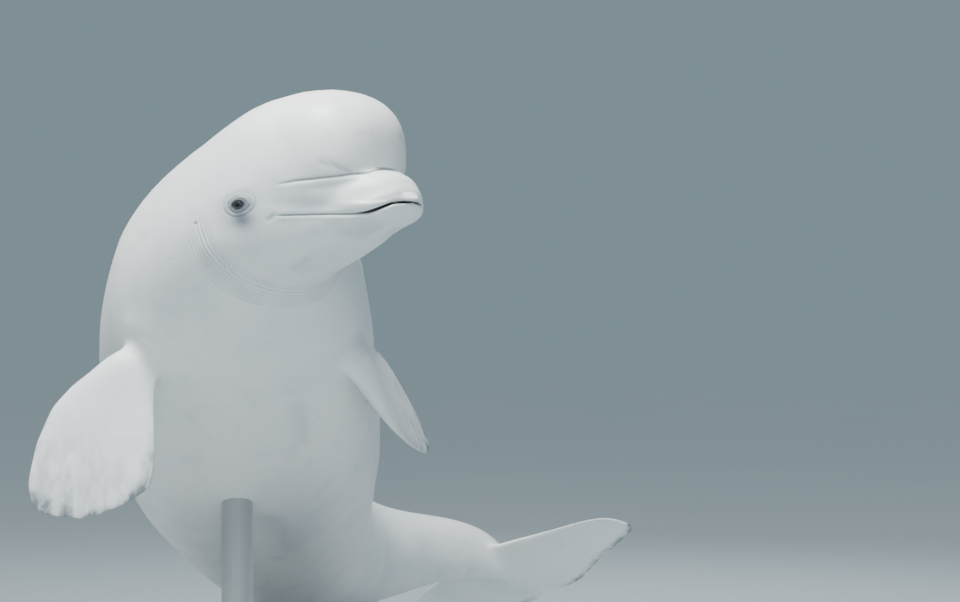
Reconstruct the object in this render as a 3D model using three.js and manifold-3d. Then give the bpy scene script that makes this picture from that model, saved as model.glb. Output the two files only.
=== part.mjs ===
// A life-size beluga whale, raised on a plain display stand: it swims towards the viewer with its
// chest lifted, its head turned to its own left and its tail swung the same way.
// Millimetres, +Z up. The origin is on the floor, under the middle of the whole model.
// The body is first made straight, in body coordinates: x runs from the snout to the tail notch,
// y to the whale's left and z to its back. Then every point is carried onto a bent spine.
import * as THREE from "three";
import { mergeVertices } from "three/addons/utils/BufferGeometryUtils.js";
import Module from "manifold-3d";

const wasm = await Module();
wasm.setup();
const { Manifold, Mesh: SolidMesh } = wasm;

// Driving dimensions
const bodyLength = 3955; // snout tip to the notch between the flukes
const gap = 0.3; // between two touching pieces
const bodySegments = 48; // points round each ring of the body

// Half width, height above and depth below the spine of the straight body, without the melon
const girth = [
  // x, half width, up, down
  [0, 0, 0, 0],
  [4, 34, 24, 14],
  [14, 56, 44, 26],
  [32, 76, 64, 38],
  [60, 93, 76, 52],
  [100, 108, 86, 72],
  [150, 122, 104, 97],
  [220, 142, 140, 127],
  [300, 164, 178, 156],
  [350, 180, 200, 174],
  [455, 215, 240, 222],
  [555, 248, 268, 250],
  [755, 314, 320, 297],
  [955, 346, 342, 332],
  [1255, 370, 363, 366],
  [1555, 380, 380, 380],
  [1805, 375, 380, 374],
  [2155, 338, 352, 338],
  [2555, 266, 291, 276],
  [2755, 225, 256, 240],
  [2955, 180, 220, 205],
  [3155, 139, 184, 170],
  [3355, 103, 149, 139],
  [3555, 72, 118, 113],
  [3675, 55, 92, 90],
  [3800, 34, 50, 48],
  [3900, 14, 18, 18],
];

// The melon is a rounded block that bulges over the beak
const melonCentre = new THREE.Vector3(245, 0, 125);
const melonRadii = new THREE.Vector3(179, 165, 152);
const melonSquareness = 2.45;
const beakSquareness = 2.7; // 2 would be an ellipse
const creaseBlend = 18; // how softly the melon meets the upper lip
const napeBlend = 95; // how softly it runs out into the nape

// Head landmarks
const headCore = new THREE.Vector3(200, 0, 20); // rings in front of it fan out from this point
const mouthLine = [
  // x, height of the line between the lips
  [0, 2],
  [20, -1],
  [45, -13],
  [70, -22],
  [92, -27],
  [130, -26],
  [220, -22],
  [275, -24],
];
const gapeX = 272;
const mouthGroove = 4.2;
const eyeX = 346;
const eyeHeight = 8;
const eyeRadius = 17;
const eyeSink = 12; // the eyeball's centre lies this far under the skin
const lidRadius = 16;
const lidThickness = 5;
const blowholeX = 432;
const blowholeRadius = 26;

// Where the body is parted into its named lengths
const neckStart = 480;
const neckEnd = 700;
const bellyStart = 1480;
const tailStart = 2640;

// The bent spine: how far each station heads to the right and down as it runs to the tail, and
// how far the whale's left side is rolled up, in degrees
const spineKnots = [
  // x, heading, descent, roll
  [315, -54, 2, -1],
  [575, -21, 27, 4],
  [905, -7, 31, 9],
  [1555, -1.5, 21, 13],
  [2255, 5, 27.5, 15],
  [2600, 16, 21, 16],
  [2955, 30, 8, 17],
  [3300, 42, 1.5, 18],
  [3540, 48, 8, 21],
  [3700, 52, 26.5, 26],
];
const spineStep = 5;

// Flukes, in body coordinates, from the midline to the tip
const flukeSpan = 515;
const flukeMiddleThickness = 62;
const flukeCurl = 14; // the tips bend up by this much
const flukeRootY = 62; // where each fluke is parted from the tail stock

// Flippers: length, outline as the share of the length against leading and trailing reach
const flipperLength = 437;
const flipperOutline = [
  // share of the length, reach ahead of the axis, reach behind it, thickness
  [-0.2, 56, 46, 88],
  [0, 76, 44, 80],
  [0.18, 108, 60, 66],
  [0.34, 144, 90, 52],
  [0.5, 163, 124, 40],
  [0.65, 162, 142, 31],
  [0.8, 150, 106, 23],
  [0.9, 138, 62, 17],
  [0.97, 120, 18, 12],
  [1.02, 96, -44, 8],
];
const flippers = [
  {
    name: "flipper_right",
    root: [795, -262, -168],
    shoulder: [800, -170, -130],
    along: [-0.385, -0.12, -0.923],
    ahead: [-0.9, 0.16, 0.4],
    droop: 26,
  },
  {
    name: "flipper_left",
    root: [830, 252, -186],
    shoulder: [800, 130, -110],
    along: [0.334, 0.848, -0.412],
    ahead: [0.534, -0.53, -0.659],
    droop: -20,
  },
];

// Stand
const floorClearance = 160; // between the base and the lowest fluke tip
const baseSize = [1500, 2300, 45];
const baseCorner = 180;
const rodRadius = 42;
const rodStations = [1120, 2330];
const footRadius = 120;
const footHeight = 28;

// A smooth curve through rows of [x, value, ...], without overshoot
function smoothCurve(rows, column) {
  const xs = rows.map((row) => row[0]);
  const ys = rows.map((row) => row[column]);
  const slopes = xs.slice(1).map((x, i) => (ys[i + 1] - ys[i]) / (x - xs[i]));
  const tangents = ys.map((_, i) => {
    if (i === 0) return slopes[0];
    if (i === ys.length - 1) return slopes[i - 1];
    const [a, b] = [slopes[i - 1], slopes[i]];
    return a * b <= 0 ? 0 : (2 * a * b) / (a + b);
  });
  return (x) => {
    const at = Math.min(Math.max(x, xs[0]), xs[xs.length - 1]);
    let i = 0;
    while (i < xs.length - 2 && at > xs[i + 1]) i += 1;
    const width = xs[i + 1] - xs[i];
    const t = (at - xs[i]) / width;
    const s = 1 - t;
    return (
      ys[i] * (1 + 2 * t) * s * s +
      ys[i + 1] * (3 - 2 * t) * t * t +
      width * t * s * (tangents[i] * s - tangents[i + 1] * t)
    );
  };
}

const halfWidth = smoothCurve(girth, 1);
const reachUp = smoothCurve(girth, 2);
const reachDown = smoothCurve(girth, 3);
const mouthHeight = smoothCurve(mouthLine, 1);

// Runs smoothly from 0 at one place to 1 at another, in either direction
function fade(from, to, x) {
  const t = THREE.MathUtils.clamp((x - from) / (to - from), 0, 1);
  return t * t * (3 - 2 * t);
}

const bump = (distance, width) => Math.exp(-((distance / width) ** 2));

// How far a point lies outside the straight body, about in millimetres; negative inside
function outside(p) {
  const x = Math.max(p.x, 3);
  const w = halfWidth(x);
  const h = p.z > 0 ? reachUp(x) : reachDown(x);
  const power = THREE.MathUtils.lerp(beakSquareness, 2, fade(180, 520, p.x));
  const across = (Math.abs(p.y / w) ** power + Math.abs(p.z / h) ** power) ** (1 / power);
  const trunk = (across - 1) * Math.min(w, h) + (x - p.x);
  if (p.x > 900) return trunk - dorsalRidge(p);
  const d = p.clone().sub(melonCentre);
  const q =
    Math.abs(d.x / melonRadii.x) ** melonSquareness +
    Math.abs(d.y / melonRadii.y) ** melonSquareness +
    Math.abs(d.z / melonRadii.z) ** melonSquareness;
  const melon = (q ** (1 / melonSquareness) - 1) * melonRadii.z;
  const k = THREE.MathUtils.lerp(creaseBlend, napeBlend, fade(100, 340, p.x));
  const blend = THREE.MathUtils.clamp(0.5 + (0.5 * (trunk - melon)) / k, 0, 1);
  const joined = THREE.MathUtils.lerp(trunk, melon, blend) - k * blend * (1 - blend);
  return joined - lips(p) - browAndCheek(p);
}

// The lips stand out along the front of the mouth
function lips(p) {
  const near = fade(170, 60, p.x);
  const rise = p.z - mouthHeight(p.x);
  return near * (6 * bump(rise - 20, 15) + 5 * bump(rise + 13, 10));
}

// The skin swells round the eye and behind the corner of the mouth
function browAndCheek(p) {
  const fromEye = Math.hypot(p.x - eyeX, p.z - eyeHeight);
  return 5 * bump(fromEye, 42) + 7 * bump(Math.hypot(p.x - 330, (p.z + 85) * 0.8), 75);
}

// The low ridge that a beluga has in place of a back fin
function dorsalRidge(p) {
  const along = bump(p.x - 2080, 430);
  return p.z > 0 ? 17 * along * bump(p.y, 26) : 0;
}

// The outermost point of the body along a ray from inside it
function skinPoint(origin, direction, grow) {
  const at = (r) => origin.clone().addScaledVector(direction, r);
  let far = 560;
  while (far > 4 && outside(at(far - 6)) > 0) far -= 6;
  let near = Math.max(far - 6, 0);
  for (let i = 0; i < 24; i += 1) {
    const middle = (near + far) / 2;
    if (outside(at(middle)) > 0) far = middle;
    else near = middle;
  }
  return at(far + grow);
}

// Rings of rays: a fan over the front of the head, then slices square to the spine
function bodyRings() {
  const rings = [];
  const fan = [4, 8, 12, 16, 20, 24, 28, 32, 37, 42, 48, 54, 61, 68, 75, 83];
  for (const degrees of fan) {
    rings.push({ x: headCore.x, lean: THREE.MathUtils.degToRad(degrees), lift: headCore.z });
  }
  const slices = [200, 225, 250, 275, 300, 325, 350, 375, 400, 430, 465, 505, 550, 600, 655, 715];
  for (let x = 785; x < 2900; x += 96) slices.push(x);
  for (let x = 2920; x < 3600; x += 70) slices.push(x);
  slices.push(3635, 3680, 3725, 3770, 3815, 3860, 3893);
  for (const x of slices) {
    const lift = headCore.z * fade(420, headCore.x, x);
    rings.push({ x, lean: Math.PI / 2, lift });
  }
  return rings;
}

function bodySurface(grow) {
  const rings = bodyRings().map(({ x, lean, lift }) => {
    const origin = new THREE.Vector3(x, 0, lift);
    return Array.from({ length: bodySegments }, (_, i) => {
      const turn = (2 * Math.PI * i) / bodySegments;
      const direction = new THREE.Vector3(
        -Math.cos(lean),
        Math.sin(lean) * Math.cos(turn),
        Math.sin(lean) * Math.sin(turn),
      );
      return skinPoint(origin, direction, grow);
    });
  });
  const nose = skinPoint(headCore, new THREE.Vector3(-1, 0, 0), grow);
  const stern = new THREE.Vector3(3902 + grow, 0, 0);
  return closedLoft(rings, nose, stern);
}

// A closed surface over rings of equally many points, with a point at each end
function closedLoft(rings, first, last) {
  const count = rings[0].length;
  const points = [first, ...rings.flat(), last];
  const faces = [];
  const at = (ring, i) => 1 + ring * count + (i % count);
  for (let i = 0; i < count; i += 1) {
    faces.push(0, at(0, i + 1), at(0, i));
    for (let ring = 0; ring < rings.length - 1; ring += 1) {
      const [a, b] = [at(ring, i), at(ring, i + 1)];
      const [c, d] = [at(ring + 1, i), at(ring + 1, i + 1)];
      faces.push(a, b, d, a, d, c);
    }
    faces.push(points.length - 1, at(rings.length - 1, i), at(rings.length - 1, i + 1));
  }
  const geometry = new THREE.BufferGeometry();
  geometry.setAttribute(
    "position",
    new THREE.Float32BufferAttribute(points.flatMap((p) => p.toArray()), 3),
  );
  geometry.setIndex(faces);
  return geometry;
}

// A closed geometry as a solid that can be joined and cut, turned the right way out
function solidOf(geometry) {
  const bare = new THREE.BufferGeometry();
  bare.setAttribute("position", geometry.getAttribute("position"));
  if (geometry.index) bare.setIndex(geometry.index);
  const merged = mergeVertices(bare, 1e-3);
  const vertProperties = new Float32Array(merged.attributes.position.array);
  const triVerts = new Uint32Array(merged.index.array);
  const made = new Manifold(new SolidMesh({ numProp: 3, vertProperties, triVerts }));
  if (made.volume() > 0) return made;
  for (let i = 0; i < triVerts.length; i += 3) {
    [triVerts[i + 1], triVerts[i + 2]] = [triVerts[i + 2], triVerts[i + 1]];
  }
  return new Manifold(new SolidMesh({ numProp: 3, vertProperties, triVerts }));
}

// Only the largest closed surface of a solid
function largest(solid) {
  return solid.decompose().reduce((a, b) => (b.volume() > a.volume() ? b : a));
}

function geometryOf(solid) {
  const mesh = solid.getMesh();
  const points = [];
  for (let i = 0; i < mesh.numVert; i += 1) {
    points.push(...mesh.vertProperties.subarray(i * mesh.numProp, i * mesh.numProp + 3));
  }
  const geometry = new THREE.BufferGeometry();
  geometry.setAttribute("position", new THREE.Float32BufferAttribute(points, 3));
  geometry.setIndex([...mesh.triVerts]);
  return geometry;
}

function block(low, high) {
  const size = high.map((value, i) => value - low[i]);
  const geometry = new THREE.BoxGeometry(...size);
  geometry.translate(...low.map((value, i) => value + size[i] / 2));
  return solidOf(geometry);
}

// The stretch of the straight body between two stations, short of each by half a gap
function lengthOf(solid, from, to) {
  const wide = 900;
  return solid.intersect(block([from, -wide, -wide], [to, wide, wide]));
}

// Tubes for grooves and rims follow a line of points
function tube(points, radius, sides, steps, closed = false) {
  const section = new THREE.Shape(
    Array.from({ length: sides }, (_, i) => {
      const turn = (2 * Math.PI * i) / sides;
      return new THREE.Vector2(radius * Math.cos(turn), radius * Math.sin(turn));
    }),
  );
  const extrudePath = new THREE.CatmullRomCurve3(points, closed);
  return new THREE.ExtrudeGeometry(section, { steps, extrudePath, bevelEnabled: false });
}

// The line between the lips, from one corner round the front to the other
function mouthPath() {
  const side = [gapeX, 235, 195, 155, 120];
  const onSide = (x, sign) =>
    skinPoint(new THREE.Vector3(x, 0, mouthHeight(x)), new THREE.Vector3(0, sign, 0), 0);
  const round = (degrees) => {
    const turn = THREE.MathUtils.degToRad(degrees);
    const out = new THREE.Vector3(-Math.cos(turn), Math.sin(turn), 0);
    const onSkin = skinPoint(new THREE.Vector3(100, 0, mouthHeight(60)), out, 0);
    return skinPoint(new THREE.Vector3(100, 0, mouthHeight(onSkin.x)), out, 0);
  };
  return [
    ...side.map((x) => onSide(x, -1)),
    ...[-72, -54, -36, -18, 0, 18, 36, 54, 72].map(round),
    ...side.reverse().map((x) => onSide(x, 1)),
  ];
}

// The crescent of the blowhole, on top of the head behind the melon
function blowholePath() {
  return [-80, -45, 0, 45, 80].map((degrees) => {
    const turn = THREE.MathUtils.degToRad(degrees);
    const x = blowholeX + blowholeRadius * (Math.cos(turn) - 0.6);
    const y = blowholeRadius * Math.sin(turn);
    return skinPoint(new THREE.Vector3(x, y, 0), new THREE.Vector3(0, 0, 1), 0);
  });
}

function eyeCentre(sign) {
  const out = new THREE.Vector3(0, sign, 0);
  const onSkin = skinPoint(new THREE.Vector3(eyeX, 0, eyeHeight), out, 0);
  return onSkin.addScaledVector(out, -eyeSink);
}

// A ring of skin round each eye, a little wider than it is high
function lidRim(sign) {
  const centre = eyeCentre(sign);
  const points = Array.from({ length: 16 }, (_, i) => {
    const turn = (2 * Math.PI * i) / 16;
    const x = eyeX + lidRadius * 1.12 * Math.cos(turn);
    const z = eyeHeight + lidRadius * 0.86 * Math.sin(turn);
    return skinPoint(new THREE.Vector3(x, 0, z), new THREE.Vector3(0, sign, 0), -1.5);
  });
  const rim = solidOf(tube(points, lidThickness, 7, 20, true));
  return { rim, centre };
}

function eyeball(sign, radius) {
  const ball = new THREE.SphereGeometry(radius, 18, 12);
  ball.translate(...eyeCentre(sign).toArray());
  return solidOf(ball);
}

// Both flukes in one blade across the tail, thin at the edges and convex behind
const flukeFront = smoothCurve(
  [
    [0, -318],
    [68, -296],
    [180, -266],
    [298, -234],
    [400, -206],
    [470, -172],
    [500, -132],
    [flukeSpan, -75],
  ],
  1,
);
const flukeBack = smoothCurve(
  [
    [0, -2],
    [12, 38],
    [35, 66],
    [80, 79],
    [140, 74],
    [220, 46],
    [298, 14],
    [400, -12],
    [470, -32],
    [500, -48],
    [flukeSpan, -75],
  ],
  1,
);

function flukeBlade() {
  const stations = [-1, -0.985, -0.95, -0.88, -0.76, -0.62, -0.48, -0.34, -0.2, -0.125, -0.065, -0.02];
  const spread = [...stations, ...stations.slice().reverse().map((s) => -s)];
  const shape = [0, 0.05, 0.16, 0.32, 0.52, 0.72, 0.88, 1];
  const rings = spread.slice(1, -1).map((share) => {
    const y = share * flukeSpan;
    const front = bodyLength + flukeFront(Math.abs(y));
    const chord = flukeBack(Math.abs(y)) - flukeFront(Math.abs(y));
    const thick = 9 + (flukeMiddleThickness - 9) * (1 - Math.abs(share)) ** 1.5;
    const curl = flukeCurl * Math.abs(share) ** 2.2;
    const half = (t) => {
      const hump = Math.sqrt(t) * (1 - t) * 2.4;
      return Math.max((thick / 2) * Math.min(hump, 1), 2.6);
    };
    const upper = shape.map((t) => new THREE.Vector3(front + chord * t, y, half(t) + curl));
    const lower = shape.map((t) => new THREE.Vector3(front + chord * t, y, -half(t) + curl));
    return [...upper, ...lower.reverse()];
  });
  const tip = (sign) => new THREE.Vector3(bodyLength - 75, sign * flukeSpan, flukeCurl);
  return solidOf(closedLoft(rings, tip(-1), tip(1)));
}

// The spine as frames: a place, and the directions to the tail, the whale's left and its back
const spine = (() => {
  const turns = [1, 2, 3].map((column) => smoothCurve(spineKnots, column));
  const place = new THREE.Vector3();
  const frames = [];
  for (let x = -100; x <= bodyLength + 200; x += spineStep) {
    const [heading, descent, roll] = turns.map((turn) => THREE.MathUtils.degToRad(turn(x)));
    const tail = new THREE.Vector3(
      Math.sin(heading) * Math.cos(descent),
      Math.cos(heading) * Math.cos(descent),
      -Math.sin(descent),
    );
    const level = new THREE.Vector3(Math.cos(heading), -Math.sin(heading), 0);
    const left = level.applyAxisAngle(tail, -roll);
    const back = new THREE.Vector3().crossVectors(left, tail);
    frames.push({ place: place.clone(), tail, left, back });
    place.addScaledVector(tail, spineStep);
  }
  return frames;
})();

// Carries a point of the straight body onto the bent spine
function bend(p) {
  const along = (p.x + 100) / spineStep;
  const i = THREE.MathUtils.clamp(Math.floor(along), 0, spine.length - 2);
  const t = along - i;
  const [a, b] = [spine[i], spine[i + 1]];
  const mix = (key) => a[key].clone().lerp(b[key], t);
  return mix("place").addScaledVector(mix("left"), p.y).addScaledVector(mix("back"), p.z);
}

function bent(solid) {
  const geometry = geometryOf(solid);
  const position = geometry.getAttribute("position");
  const p = new THREE.Vector3();
  for (let i = 0; i < position.count; i += 1) {
    p.fromBufferAttribute(position, i);
    position.setXYZ(i, ...bend(p).toArray());
  }
  return solidOf(geometry);
}

// A paddle that grows from the chest: its length curves a little towards its underside
function flipperBlade({ root, shoulder, along, ahead, droop }) {
  const start = bend(new THREE.Vector3(...root));
  const lengthwise = new THREE.Vector3(...along).normalize();
  const forward = new THREE.Vector3(...ahead);
  forward.addScaledVector(lengthwise, -forward.dot(lengthwise)).normalize();
  const up = new THREE.Vector3().crossVectors(lengthwise, forward);
  const curves = [1, 2, 3].map((column) => smoothCurve(flipperOutline, column));
  const shares = [-0.2, -0.08, 0, 0.08, 0.17, 0.27, 0.38, 0.5, 0.6, 0.69, 0.77, 0.85, 0.92, 0.97, 1.01];
  const shape = [-1, -0.86, -0.62, -0.3, 0.05, 0.4, 0.7, 0.9, 1];
  const inward = bend(new THREE.Vector3(...shoulder)).sub(start);
  inward.addScaledVector(lengthwise, 0.2 * flipperLength);
  const place = (share, side, lift) =>
    start
      .clone()
      .addScaledVector(lengthwise, share * flipperLength)
      .addScaledVector(inward, fade(0.25, -0.25, share) ** 2)
      .addScaledVector(forward, side)
      .addScaledVector(up, lift - droop * share ** 2);
  const rings = shares.map((share) => {
    const [front, behind, thick] = curves.map((curve) => curve(share));
    const half = (t) => Math.max((thick / 2) * Math.sqrt(1 - t * t) * (1 + 0.25 * t), 2.4);
    const side = (t) => THREE.MathUtils.lerp(-behind, front, (t + 1) / 2);
    const upper = shape.map((t) => place(share, side(t), half(t)));
    const lower = shape.map((t) => place(share, side(t), -half(t)));
    return [...upper, ...lower.reverse()];
  });
  return solidOf(closedLoft(rings, place(-0.22, 0, 0), place(1.03, 72, 0)));
}

// The stand: a rounded base and two upright rods with a foot each
function standBase(centre, floor) {
  const [width, depth, height] = baseSize;
  const outline = new THREE.Shape();
  const [x, y, r] = [width / 2, depth / 2, baseCorner];
  outline.moveTo(-x + r, -y);
  outline.lineTo(x - r, -y);
  outline.absarc(x - r, -y + r, r, -Math.PI / 2, 0);
  outline.lineTo(x, y - r);
  outline.absarc(x - r, y - r, r, 0, Math.PI / 2);
  outline.lineTo(-x + r, y);
  outline.absarc(-x + r, y - r, r, Math.PI / 2, Math.PI);
  outline.lineTo(-x, -y + r);
  outline.absarc(-x + r, -y + r, r, Math.PI, 1.5 * Math.PI);
  const plate = new THREE.ExtrudeGeometry(outline, {
    depth: height,
    curveSegments: 8,
    bevelEnabled: false,
  });
  plate.translate(centre.x, centre.y, floor);
  return solidOf(plate);
}

// A flat round foot on the base, and the upright rod that stands on it
function standFoot(at, floor) {
  const foot = new THREE.CylinderGeometry(footRadius, footRadius, footHeight, 32);
  foot.rotateX(Math.PI / 2);
  foot.translate(at.x, at.y, floor + baseSize[2] + gap + footHeight / 2);
  return solidOf(foot);
}

function standRod(at, floor) {
  const bottom = floor + baseSize[2] + footHeight + 2 * gap;
  const rod = new THREE.CylinderGeometry(rodRadius, rodRadius, at.z - bottom, 24);
  rod.rotateX(Math.PI / 2);
  rod.translate(at.x, at.y, (at.z + bottom) / 2);
  return solidOf(rod);
}

const skinColour = 0xe9ecec;
const colours = {
  skin: { color: skinColour, roughness: 0.42, metalness: 0 },
  eye: { color: 0x14161a, roughness: 0.12, metalness: 0 },
  base: { color: 0x35393d, roughness: 0.55, metalness: 0 },
  rod: { color: 0x9aa0a5, roughness: 0.35, metalness: 0.9 },
};

const whale = new THREE.Group();
whale.name = "beluga_whale";

function addPart(name, solid, finish) {
  const mesh = new THREE.Mesh(
    geometryOf(largest(solid)),
    new THREE.MeshStandardMaterial(colours[finish]),
  );
  mesh.name = name;
  whale.add(mesh);
}

// The straight body with its grooves, rims and sockets
const lids = [lidRim(-1), lidRim(1)];
let straight = solidOf(bodySurface(0)).add(flukeBlade());
for (const { rim } of lids) straight = straight.add(rim);
straight = straight.subtract(solidOf(tube(mouthPath(), mouthGroove, 6, 44)));
straight = straight.subtract(solidOf(tube(blowholePath(), 5, 6, 10)));
for (const sign of [-1, 1]) straight = straight.subtract(eyeball(sign, eyeRadius + gap));

const cut = gap; // half of the wider gap at a bend
addPart("head", bent(lengthOf(straight, -200, neckStart - cut)), "skin");
addPart("neck", bent(lengthOf(straight, neckStart + cut, neckEnd - cut)), "skin");
addPart("chest", bent(lengthOf(straight, neckEnd + cut, bellyStart - cut)), "skin");
addPart("belly", bent(lengthOf(straight, bellyStart + cut, tailStart - cut)), "skin");

const tail = lengthOf(straight, tailStart + cut, bodyLength + 300);
const side = [bodyLength - 420, bodyLength + 300];
const middle = tail
  .subtract(block([side[0], flukeRootY - cut, -300], [side[1], 900, 300]))
  .subtract(block([side[0], -900, -300], [side[1], cut - flukeRootY, 300]));
addPart("tail_stock", bent(middle), "skin");
const fluke = (sign) => {
  const [a, b] = [sign * (flukeRootY + cut), sign * 900].sort((p, q) => p - q);
  return tail.intersect(block([side[0], a, -300], [side[1], b, 300]));
};
addPart("fluke_left", bent(fluke(1)), "skin");
addPart("fluke_right", bent(fluke(-1)), "skin");

addPart("eye_left", bent(eyeball(1, eyeRadius)), "eye");
addPart("eye_right", bent(eyeball(-1, eyeRadius)), "eye");

const wholeSkin = bent(solidOf(bodySurface(gap)));
for (const flipper of flippers) {
  addPart(flipper.name, flipperBlade(flipper).subtract(wholeSkin), "skin");
}

const lowest = new THREE.Box3().setFromObject(whale).min.z;
const floor = lowest - floorClearance - baseSize[2];
const feet = rodStations.map((station) => bend(new THREE.Vector3(station, 0, 0)));
const standCentre = feet[0].clone().add(feet[1]).multiplyScalar(0.5);
addPart("stand_base", standBase(standCentre, floor), "base");
feet.forEach((at, i) => {
  const place = ["front", "rear"][i];
  addPart(`stand_foot_${place}`, standFoot(at, floor), "rod");
  addPart(`stand_rod_${place}`, standRod(at, floor).subtract(wholeSkin), "rod");
});

// The origin goes on the floor, under the middle of the whole model
const bounds = new THREE.Box3().setFromObject(whale);
const middleOf = bounds.getCenter(new THREE.Vector3());
whale.position.set(-middleOf.x, -middleOf.y, -bounds.min.z);

export default whale;
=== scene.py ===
"""A life-size beluga whale on a plain display stand: the looks around its solids.

The skin is first made straight, in millimetres, in body coordinates: x runs from the snout to the
notch between the flukes, y to the whale's left and z to its back. Then it is carried onto the bent
spine and turned into metres in the frame of the solids.
"""

import math

import bmesh
import bpy
import numpy as np
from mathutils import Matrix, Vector, kdtree


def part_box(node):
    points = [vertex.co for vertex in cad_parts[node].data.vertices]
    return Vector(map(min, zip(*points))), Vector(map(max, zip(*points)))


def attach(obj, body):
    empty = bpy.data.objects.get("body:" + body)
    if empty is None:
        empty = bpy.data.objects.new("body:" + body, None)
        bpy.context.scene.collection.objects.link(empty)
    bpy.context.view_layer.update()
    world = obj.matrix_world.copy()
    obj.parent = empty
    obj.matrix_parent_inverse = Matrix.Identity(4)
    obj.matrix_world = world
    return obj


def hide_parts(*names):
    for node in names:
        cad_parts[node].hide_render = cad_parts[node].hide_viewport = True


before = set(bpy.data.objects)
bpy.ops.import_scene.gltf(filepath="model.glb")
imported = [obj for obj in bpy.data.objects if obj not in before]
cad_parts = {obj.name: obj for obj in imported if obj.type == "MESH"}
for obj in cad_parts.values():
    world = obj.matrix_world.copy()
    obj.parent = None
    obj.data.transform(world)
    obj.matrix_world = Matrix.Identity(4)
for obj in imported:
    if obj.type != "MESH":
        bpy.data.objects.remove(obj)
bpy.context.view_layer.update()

METRE = 1000.0

# The straight body: the solids' own sizes, but with the top of the tail stock and the front of the
# mouth line a little lower

BODY_LENGTH = 3955
STERN_X = 3902  # where the skin closes, inside the flukes
GIRTH = [
    # x, half width, height above and depth below the spine
    (0, 0, 0, 0),
    (4, 34, 24, 14),
    (14, 56, 44, 26),
    (32, 76, 64, 38),
    (60, 93, 76, 52),
    (100, 108, 86, 72),
    (150, 122, 104, 97),
    (220, 142, 140, 127),
    (300, 164, 178, 156),
    (350, 180, 200, 174),
    (455, 215, 240, 222),
    (555, 248, 268, 250),
    (755, 314, 320, 297),
    (955, 346, 342, 332),
    (1255, 370, 363, 366),
    (1555, 380, 380, 380),
    (1805, 375, 380, 374),
    (2155, 338, 352, 338),
    (2555, 266, 291, 276),
    (2755, 225, 247, 240),
    (2955, 180, 203, 205),
    (3155, 139, 155, 170),
    (3355, 103, 118, 139),
    (3555, 72, 95, 113),
    (3675, 55, 79, 90),
    (3800, 34, 50, 48),
    (3900, 14, 18, 18),
]
MELON_CENTRE = (245, 0, 125)
MELON_RADII = (179, 165, 152)
MELON_SQUARENESS = 2.45
BEAK_SQUARENESS = 2.7
CREASE_BLEND = 15  # how softly the melon runs into the beak
NAPE_BLEND = 95  # how softly it runs into the neck
TRUNK_X = 900  # behind it the body is a plain trunk with a ridge
RIDGE = (17, 2080, 430, 26)  # height of the back ridge, x of its middle, half its length and width
HEAD_CORE_X = 200  # where the rays over the front of the head start
MOUTH_LINE = [
    # x and z of the mouth line
    (0, 0),
    (8.6, -2.3),
    (14.3, -5.8),
    (24.7, -12),
    (42.5, -20),
    (58, -24),
    (84, -25.6),
    (108, -25.4),
    (147, -24.4),
    (215, -23),
    (275, -22.3),
]
MOUTH_CORNER = 272
EYE = (346, 8)  # x and z of its middle, seen from the side
EYE_OPENING = (342.5, 9)  # x and z of the middle of the opening between its lids
EYE_DEPTH = 12  # how far the middle of an eyeball lies under the smooth skin
EYE_RADIUS = 17
LID_OPENING = (13.2, 11.6)  # half the length and half the height of the opening
SIDE_Y = 90  # what is nearer the middle of the head than this is not by an eye
CHEEK = (330, -85)  # x and z, as of all places on the side of the head
EAR = (441, -8)
UNDER_EYE_SHADE = (341, -26)  # x and z of the middle of the painted shade under an eye
BLOWHOLE_X = 417
BLOWHOLE_RADIUS = 26
HEAD_TOP_Z = 100  # the blowhole lies above it
SPINE = [
    # x, heading, descent, roll
    (315, -54, 2, -1),
    (575, -21, 27, 4),
    (905, -7, 31, 9),
    (1555, -1.5, 21, 13),
    (2255, 5, 27.5, 15),
    (2600, 16, 21, 16),
    (2955, 30, 8, 17),
    (3300, 42, 1.5, 18),
    (3540, 48, 8, 21),
    (3700, 52, 26.5, 26),
]
ROD_STATIONS = (1120, 2330)  # the places along the body where the rods of the stand meet it
SPINE_STEP = 5
SPINE_START = -100
SPINE_END = BODY_LENGTH + 205

FLUKE_SPAN = 515  # from the middle to a tip
FLUKE_MIDDLE_THICKNESS = 62
FLUKE_TIP_THICKNESS = 9
FLUKE_CURL = 14
FLUKE_TIP_X = -75
FLUKE_FRONT = [
    # distance from the middle, x from the notch
    (0, -318),
    (68, -296),
    (180, -266),
    (298, -234),
    (400, -206),
    (470, -172),
    (500, -132),
    (FLUKE_SPAN, FLUKE_TIP_X),
]
FLUKE_BACK = [
    (0, -2),
    (12, 38),
    (35, 66),
    (80, 79),
    (140, 74),
    (220, 46),
    (298, 14),
    (400, -12),
    (470, -32),
    (500, -48),
    (FLUKE_SPAN, FLUKE_TIP_X),
]

FLIPPER_LENGTH = 437
FLIPPER_OUTLINE = [
    # share of the length, reach ahead of the axis, reach behind it, thickness
    (-0.2, 56, 46, 88),
    (0, 76, 44, 80),
    (0.18, 108, 60, 66),
    (0.34, 144, 90, 52),
    (0.5, 163, 124, 40),
    (0.65, 162, 142, 31),
    (0.8, 150, 106, 23),
    (0.9, 138, 62, 17),
    (0.97, 120, 18, 12),
    (1.02, 96, -44, 8),
]
FLIPPERS = {
    # places in body coordinates, directions in those of the bent body; the left flipper leans a
    # little away from its solid and is turned along its length
    "right": {
        "root": (795, -262, -168),
        "shoulder": (800, -170, -130),
        "along": (-0.385, -0.12, -0.923),
        "ahead": (-0.9, 0.16, 0.4),
        "droop": 26,
    },
    "left": {
        "root": (830, 252, -186),
        "shoulder": (800, 130, -110),
        "along": (0.304, 0.812, -0.496),
        "ahead": (0.274, -0.574, -0.771),
        "droop": 34,
    },
}


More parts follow.
